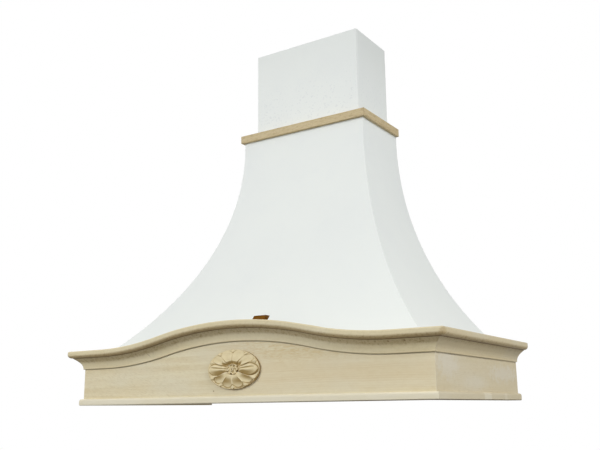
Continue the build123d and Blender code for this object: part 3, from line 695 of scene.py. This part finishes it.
def petal_relief(share, side, wide, gap, upward, turned, root, foot, crest):
    """Millimetres over the frieze on the petals.

    share is the way out, side runs from -1 to 1 across a petal, gap is the distance to its edge
    in millimetres, and wide marks the two side petals. upward is the rise of the petal's own
    direction. A narrow petal climbs from foot, beside the floret, to its crest at root, and
    falls away to its tip. Between its edges it is scooped by a power of (1 + cos(pi side)) / 2,
    deepest half way out. One that points down falls less, its scoop deepens farther out, and
    its edges stand proud. A wide one, whose upper edge is at turned = 1, carries two rolls with
    a crease between, and below them it falls away in one long slope. A cut runs between
    neighbours near the floret, deepest between those that point up.
    """
    away = np.abs(side)
    down = smooth(-upward, -0.2, 0.5)
    fall = blend(5.9 * smooth(share, root + 0.03, 0.92), 4.8 * smooth(share, 0.36, 0.92), down)
    ridge = blend(foot, crest, smooth(share, 0.55 * root, root)) - fall
    scoop = (0.5 + 0.5 * np.cos(pi * np.minimum(away / 0.98, 1.0))) ** (1 - 0.55 * down)
    depth = (0.8 + (1.7 - 0.6 * upward) * smooth(share, 0.40, 0.52)
             * (1 - smooth(share, 0.62, 0.92)))
    depth = blend(depth, 0.6 + 2.3 * smooth(share, 0.40, 0.74), down)
    proud = 0.9 * down * swell(gap, 0.0, 1.1) * smooth(share, 0.36, 0.5)
    narrow = ridge - depth * scoop + proud

    rolls = np.maximum(swell(turned, 0.55, 0.20), swell(turned, 0.05, 0.17))
    rolls = (0.58 + 0.42 * rolls) * (1 - 0.9 * smooth(turned, 0.72, 1.0))
    swelling = np.where(turned > 0.05, rolls, smooth(turned, -1.0, 0.05))
    swelling = (5.2 * swelling * smooth(share, 0.22, 0.36)
                * (1 - 0.45 * smooth(share, 0.6, 0.97)))
    body = 7.0 + 2.0 * smooth(share, 0.20, 0.40) - 2.2 * smooth(share, 0.55, 0.95)
    rolled = body + swelling - 1.4 * smooth(away, 0.62, 1.0)

    cut = (0.1 + 1.9 * smooth(upward, -0.6, 0.6)) * swell(gap, 0.0, 1.3)
    cut = cut * (1 - 0.7 * smooth(share, 0.5, 0.9))
    return np.where(wide, rolled, narrow) - cut * smooth(share, 0.24, 0.3)


# The floret's lobes and the pits drilled between them: turn, way out and size
FLORET_LOBES = ((2, 7.6, 4.3), (50, 7.4, 4.3), (100, 7.0, 4.7), (154, 7.8, 4.5), (217, 7.6, 4.8),
                (298, 7.2, 5.1))
FLORET_PITS = ((340, 10.8, 2.3), (259, 9.8, 2.4), (204, 11.4, 1.8), (172, 10.8, 1.6),
               (143, 12.0, 1.8), (75, 9.6, 1.1))
FLORET_STRETCH = 1.25                               # sideways
FLORET_BASE = 7.2
PIT_FLOOR = 3.4


def floret_relief(east, north, height):
    """Millimetres over the frieze on the floret, laid over the height that is there.

    Each lobe is a shallow cup with a thin wavy rim that curls up most on its outer side. The
    lobes stand round a ringed button, and deep pits are drilled between them. The whole floret
    is stretched sideways as the oval is.
    """
    across = east / FLORET_STRETCH
    far = np.hypot(across, north)
    height = blend(height, FLORET_BASE, 1 - smooth(far, 8.4, 11.8))
    base = height
    for turn, reach, size in FLORET_LOBES:
        east_part, north_part = np.cos(radians(turn)), np.sin(radians(turn))
        from_east, from_north = across - reach * east_part, north - reach * north_part
        round_it = np.arctan2(from_north, from_east)
        edge = size * (1 + 0.07 * np.sin(3 * round_it + turn) + 0.04 * np.sin(5 * round_it - turn))
        out = np.hypot(from_east, from_north)
        outward = (from_east * east_part + from_north * north_part) / np.maximum(out, 0.01)
        curl = 0.45 + 0.55 * smooth(outward, -0.6, 0.6)
        cup = 8.2 + 3.0 * curl * swell(out / edge, 0.76, 0.2) - 2.0 * swell(out / edge, 0.1, 0.4)
        height = np.maximum(height, blend(base, cup, 1 - smooth(out / edge, 0.86, 1.08)))
    for turn, reach, size in FLORET_PITS:
        east_part, north_part = np.cos(radians(turn)), np.sin(radians(turn))
        out = np.hypot(across - reach * east_part, north - reach * north_part)
        height = blend(height, PIT_FLOOR, 1 - smooth(out / size, 0.5, 1.15))
    button = 8.8 + 2.4 * swell(far, 2.3, 0.75) - 1.2 * swell(far, 0.0, 1.1)
    return blend(height, button, 1 - smooth(far, 2.9, 3.7))


def rosette_relief(share, turn):
    """Height of the carving over the frieze, in metres, at a share of the way out and a turn.

    An oval ground carries pointed sepals, which show between the rounded tips of the petals,
    then the petals, of which the upright ones lie higher than their neighbours, and the floret.
    A groove runs round the tips, cut deepest at the lower right, and the ground's edge is
    rounded off.
    """
    degrees = np.degrees(turn)
    degrees = np.where(degrees >= PETAL_EDGES[-1], degrees - 360, degrees)
    number = np.searchsorted(PETAL_EDGES, degrees, side="right") - 1
    low, high = PETAL_EDGES[number], PETAL_EDGES[number + 1]
    middle, wide = (low + high) / 2, (high - low) > WIDE_FROM
    side = (degrees - middle) / ((high - low) / 2)
    gap = np.minimum(degrees - low, high - degrees)
    reach = share * np.hypot(HALF_WIDTH * np.cos(turn), HALF_HEIGHT * np.sin(turn))
    upward = np.sin(np.radians(middle))
    below = smooth(-upward, -0.2, 0.5)
    sepal_half = (np.where(wide, 21.0, 8.0 + 5.0 * below)
                  * np.clip((1.0 - share) / 0.28, 0, 1) ** 0.8)
    sepal = 6.6 + 1.5 * np.clip(1 - gap / 9.0, 0, 1) - 0.7 * smooth(share, 0.86, 1.0)
    height = blend(GROUND, sepal, smooth(sepal_half - gap, -1.2, 1.2))

    tip = np.where(wide, 0.945 - 0.30 * np.abs(side) ** 2.0,
                   0.955 - (0.12 + 0.08 * below) * np.abs(side) ** 2.4)
    root = 0.46 - 0.10 * below + 0.10 * swell(degrees, 148, 14) + 0.06 * swell(degrees, 41, 14)
    foot = 4.0 + 4.6 * below + 2.8 * swell(degrees, 76, 16)
    crest = 12.6 - 1.2 * below
    turned = side * np.sign(np.cos(np.radians(middle)))
    petal = petal_relief(share, side, wide, radians(1) * gap * reach, upward, turned, root, foot,
                         crest)
    petal = GROUND + FLATTENED * (petal + 0.7 * upward ** 2 - GROUND)
    petal = petal - 0.9 * smooth(share, tip - 0.06, tip + 0.01)
    height = blend(height, petal, 1 - smooth(share, tip - 0.012, tip + 0.012))

    lower_right = (0.5 + 0.5 * np.cos(turn + radians(40))) ** 3
    height = height - (0.3 + 2.2 * lower_right) * swell(share, tip + 0.022, 0.018)
    east, north = HALF_WIDTH * share * np.cos(turn), HALF_HEIGHT * share * np.sin(turn)
    height = floret_relief(east, north, height)
    edge = HALF_HEIGHT * (1 - share)
    return (height - 0.9 * (1 - smooth(edge, 0.0, 1.0))) / 1000


def painted_shade_and_highlight(height, share, turn):
    """How much painted shade each point gets, to 1 in the hollows and on the undersides, less the
    painted highlight on its ridges.

    A hollow's depth is measured from the heights averaged with their neighbours 60 times. The
    rise of the height with z, which tells an underside, is found from its changes with the
    share s and the turn t, where z is s sin t times half the oval's height.
    """
    around = height.copy()
    for _ in range(60):
        around = (2 * around + np.roll(around, 1, 1) + np.roll(around, -1, 1)) / 4
        padded = np.concatenate([around[:1], around, around[-1:]])
        around = (padded[:-2] + 2 * around + padded[2:]) / 4
    outward = np.gradient(height, share[:, 0], axis=0)
    sideways = (np.roll(height, -1, 1) - np.roll(height, 1, 1)) / (2 * (turn[0, 1] - turn[0, 0]))
    rise = (outward * np.sin(turn) + sideways * np.cos(turn) / share) / (HALF_HEIGHT / 1000)
    # Painted shade: hollows, and undersides whose height rises with z.
    brown = np.clip((around - height) / 0.0022 + 2.6 * np.clip(rise - 0.06, 0, 1), 0, 1)
    floret = 1 - smooth(share, 0.16, 0.24)
    deep = smooth(around - height, 0.0004, 0.0014)
    brown = blend(brown, 0.3 * brown + 0.7 * deep, floret)
    # Painted highlight on the ridges.
    pale = np.clip((height - around) / 0.0010 - 0.1, 0, 1)
    return brown - pale * (1 - 0.8 * smooth(share, 0.70, 0.80))


def grid_faces(rows, columns):
    """Quads of a grid whose columns close on themselves, wound so that they face the front."""
    row, column = np.meshgrid(np.arange(rows - 1), np.arange(columns), indexing="ij")
    here = row * columns + column
    beside = row * columns + (column + 1) % columns
    return np.stack([here, here + columns, beside + columns, beside], -1).reshape(-1, 4)


def build_rosette():
    """The carved rosette: the relief on a polar grid, an upright edge and a flat back.

    A point of the grid lies at (half width s cos t, half height s sin t) from the middle, for
    the share s and the turn t. The innermost ring is tiny, and a cap closes it.
    """
    rows, columns, innermost = 148, 620, 0.004
    share = np.concatenate([[innermost], np.linspace(0, 1, rows)[1:]])
    turn = np.arange(columns) * 2 * pi / columns
    share_grid, turn_grid = np.meshgrid(share, turn, indexing="ij")
    height = rosette_relief(share_grid, turn_grid)
    x = HALF_WIDTH / 1000 * share_grid * np.cos(turn_grid)
    y = FRIEZE_FACE - height
    z = ROSETTE_CENTRE + HALF_HEIGHT / 1000 * share_grid * np.sin(turn_grid)
    front = np.stack([x, y, z], -1).reshape(-1, 3)
    foot = front[-columns:] * (1, 0, 1) + (0, FRIEZE_FACE, 0)
    middles = [(0.0, y[0, 0], ROSETTE_CENTRE), (0.0, FRIEZE_FACE, ROSETTE_CENTRE)]
    points = np.concatenate([front, foot, middles])
    nose, back_middle = len(points) - 2, len(points) - 1
    ring = np.arange(columns)
    after = (ring + 1) % columns
    foot_ring = rows * columns
    cap = np.stack([np.full(columns, nose), ring, after], -1)
    back = np.stack([np.full(columns, back_middle), foot_ring + after, foot_ring + ring], -1)
    faces = grid_faces(rows + 1, columns).tolist() + cap.tolist() + back.tolist()
    mesh = bpy.data.meshes.new("carved_rosette")
    mesh.from_pydata(points.tolist(), [], faces)
    mesh.polygons.foreach_set("use_smooth", np.ones(len(faces), bool))
    mesh.set_sharp_from_angle(angle=radians(50))
    # The brown attribute: painted shade, less painted highlight; the foot of the edge gets full
    # painted shade.
    brown = painted_shade_and_highlight(height, share_grid, turn_grid)
    brown = np.concatenate([brown.ravel(), np.ones(columns), [0.0, 0.0]])
    mesh.attributes.new("brown", "FLOAT", "POINT").data.foreach_set("value", brown)
    piece = bpy.data.objects.new("carved_rosette", mesh)
    bpy.context.scene.collection.objects.link(piece)
    return piece


def carved_marks(t, place, colour, height):
    """Painted shade in the hollows and on the undersides of the carving, its edge darker with end
    grain and painted shade, and painted highlight on the ridges."""
    # The brown attribute holds painted shade where positive and painted highlight where negative.
    shade_less_highlight = t.put("Attribute", attribute_name="brown").outputs["Fac"]
    brown = t.maths("MAXIMUM", shade_less_highlight, 0.0)
    pale = t.maths("MAXIMUM", t.maths("MULTIPLY", shade_less_highlight, -1.0), 0.0)
    # Painted highlight on the ridges.
    colour = t.mix(t.maths("MULTIPLY", pale, 0.7), colour, tint(242, 230, 200))
    y = t.axes(place)[1]
    # The carving's edge: darker end grain, with painted shade where it stands in shadow.
    edge = t.ramp(t.maths("SUBTRACT", FRIEZE_FACE, y), 0.0036, 0.0048, 1.0, 0.0)
    # Painted shade in the hollows and on the undersides.
    colour = t.mix(t.maths("MULTIPLY", brown, 0.78), colour, tint(150, 118, 46))
    return t.mix(t.maths("MULTIPLY", edge, 0.65), colour, tint(134, 102, 54)), height


carved_wood = wood("carved rosette wood", "x", (7.1, 2.1, 2.3), CARVED_PALETTE, rings=0.15,
                   streaks=0.2, fibres=0.25, clouds=0.2, marks=carved_marks)
rosette = build_rosette()
rosette.data.materials.append(carved_wood)
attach(rosette, "cover")
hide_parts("rosette")

# ======================================================================= finishes on the CAD nodes
steel = zinc_steel()
FINISHES = {
    "apron_front": front_frieze_wood, "apron_left": side_frieze_wood,
    "apron_right": side_frieze_wood,
    "crown_front": front_crown_wood, "crown_left": side_crown_wood,
    "crown_right": side_crown_wood,
    "bead_front": front_bead_wood, "bead_left": side_bead_wood, "bead_right": side_bead_wood,
    "band_front": front_band_wood, "band_left": side_band_wood, "band_right": side_band_wood,
    "dome_front": white_paint("white paint on the front", (0.0, -1.0, 0.0)),
    "dome_left": white_paint("white paint on the left", (-1.0, 0.0, 0.0)),
    "dome_right": white_paint("white paint on the right", (1.0, 0.0, 0.0)),
    # The chimney's sides get more of the painted shade toward the top than its front.
    "chimney_front": white_paint("chimney paint on the front", (0.0, -1.0, 0.0), 0.45),
    "chimney_left": white_paint("chimney paint on the left", (-1.0, 0.0, 0.0), 0.8),
    "chimney_right": white_paint("chimney paint on the right", (1.0, 0.0, 0.0), 0.8),
    "ledge_front": ply["z"], "ledge_left": ply["z"], "ledge_right": ply["z"],
    "front_rib_left": ply["x"], "front_rib_right": ply["x"],
    "back_rib_left": ply["y"], "back_rib_right": ply["y"],
    "insert_panel": ply["z"], "cross_rail": ply["y"], "hanging_rail": ply["y"],
    "wall_cleat": ply["y"],
    "ledge_strip_front": pine["x"], "ledge_strip_left": pine["y"], "ledge_strip_right": pine["y"],
    "collar_front": pine["x"], "collar_left": pine["y"], "collar_right": pine["y"],
    "chimney_batten_left": pine["z"], "chimney_batten_right": pine["z"],
    "chimney_strap_lower": pine["x"], "chimney_strap_upper": pine["x"],
    "chimney_rest_rail": pine["x"], "chimney_rest_block_left": pine["x"],
    "chimney_rest_block_right": pine["x"], "back_rail": pine["x"],
    "insert_strip_front": pine["x"], "insert_strip_back": pine["x"],
    "insert_strip_left": pine["y"], "insert_strip_right": pine["y"],
    "corner_blocks": pine["z"], "stay_block": stained_wood,
    "insert_screws": steel, "rib_foot_screws": steel, "cross_rail_screws": steel,
    "chimney_rest_screws": steel,
}
for name, finish in FINISHES.items():
    for slot in nodes[name].material_slots:
        slot.material = finish


# ======================================================================= studio
MIDDLE = (0.0, 0.0, 0.45)                           # of the object, which the lamps face


def seen_directly(t):
    """1 for what the camera sees itself, in gloss or through glass."""
    path = t.put("LightPath").outputs
    return t.maths("MAXIMUM", path["Is Camera Ray"],
                   t.maths("MAXIMUM", path["Is Glossy Ray"], path["Is Transmission Ray"]))


def build_floor(reach=9.0, height=-1.6):
    """A pale floor below the cover; the camera and gloss see it topped up to white, more so
    farther off, where the lamps don't reach it. From below it can't be seen."""
    corners = [(-reach, -reach, height), (reach, -reach, height), (reach, reach, height),
               (-reach, reach, height)]
    mesh = bpy.data.meshes.new("studio_floor")
    mesh.from_pydata(corners, [], [(0, 1, 2, 3)])
    floor = bpy.data.objects.new("studio_floor", mesh)
    bpy.context.scene.collection.objects.link(floor)
    material, t = bare_material("studio floor")
    dull = t.put("BsdfDiffuse", {"Color": (0.42, 0.42, 0.42, 1.0)})
    lit = t.put("BsdfDiffuse", {"Color": (0.85, 0.85, 0.85, 1.0)})
    far = t.vector("LENGTH", t.put("TexCoord").outputs["Object"])
    glow = t.put("Emission", {"Color": (1.0, 1.0, 1.0, 1.0),
                              "Strength": t.ramp(far, 2.0, 6.5, 0.2, 0.92)})
    white = t.put("AddShader", {0: lit.outputs[0], 1: glow.outputs[0]})
    front = t.put("MixShader", {0: seen_directly(t), 1: dull.outputs[0], 2: white.outputs[0]})
    clear = t.put("BsdfTransparent")
    side = t.put("NewGeometry").outputs["Backfacing"]
    both = t.put("MixShader", {0: side, 1: front.outputs[0], 2: clear.outputs[0]})
    t.put("OutputMaterial", {"Surface": both.outputs[0]})
    floor.data.materials.append(material)


def build_world(ambient=0.25):
    """An even pale surround that looks white."""
    world = bpy.data.worlds.new("studio")
    bpy.context.scene.world = world
    world.use_nodes = True
    world.node_tree.nodes.clear()
    t = Tree(world.node_tree)
    light = t.put("Background", {"Color": (1.0, 1.0, 1.0, 1.0), "Strength": ambient})
    white = t.put("Background", {"Color": (1.0, 1.0, 1.0, 1.0), "Strength": 1.0})
    both = t.put("MixShader", {0: seen_directly(t), 1: light.outputs[0], 2: white.outputs[0]})
    t.put("OutputWorld", {"Surface": both.outputs[0]})


def soft_light(name, place, size, power):
    """A square soft box that faces the middle of the object."""
    lamp = bpy.data.lights.new(name, "AREA")
    lamp.shape, lamp.size, lamp.energy = "SQUARE", size, power
    light = bpy.data.objects.new(name, lamp)
    bpy.context.scene.collection.objects.link(light)
    away = Vector(place) - Vector(MIDDLE)
    turned = away.to_track_quat("Z", "Y").to_matrix().to_4x4()
    light.matrix_world = Matrix.Translation(place) @ turned


def build_camera():
    """The camera of the photograph: just under the rim, to the right, looking up and left."""
    data = bpy.data.cameras.new("camera")
    data.sensor_width, data.lens, data.sensor_fit = 36.0, 46.817, "HORIZONTAL"
    camera = bpy.data.objects.new("camera", data)
    right = (0.83787384, 0.54575014, -0.01114482)
    up = (0.13396745, -0.18579806, 0.97341245)
    forward = (-0.5291693, 0.81708988, 0.22878808)
    place = (1.01433, -1.51915, -0.012)
    camera.matrix_world = Matrix([[right[i], up[i], -forward[i], place[i]] for i in range(3)]
                                 + [[0, 0, 0, 1]])
    bpy.context.scene.collection.objects.link(camera)
    bpy.context.scene.camera = camera


build_camera()
build_world()
build_floor()
soft_light("key", (-1.75, -4.1, 2.0), 1.65, 128.0)
soft_light("fill", (3.0, -0.8, 1.5), 2.0, 72.0)
soft_light("back", (-2.9, 1.9, 1.5), 1.8, 55.0)
bpy.context.scene.view_settings.view_transform = "Standard"
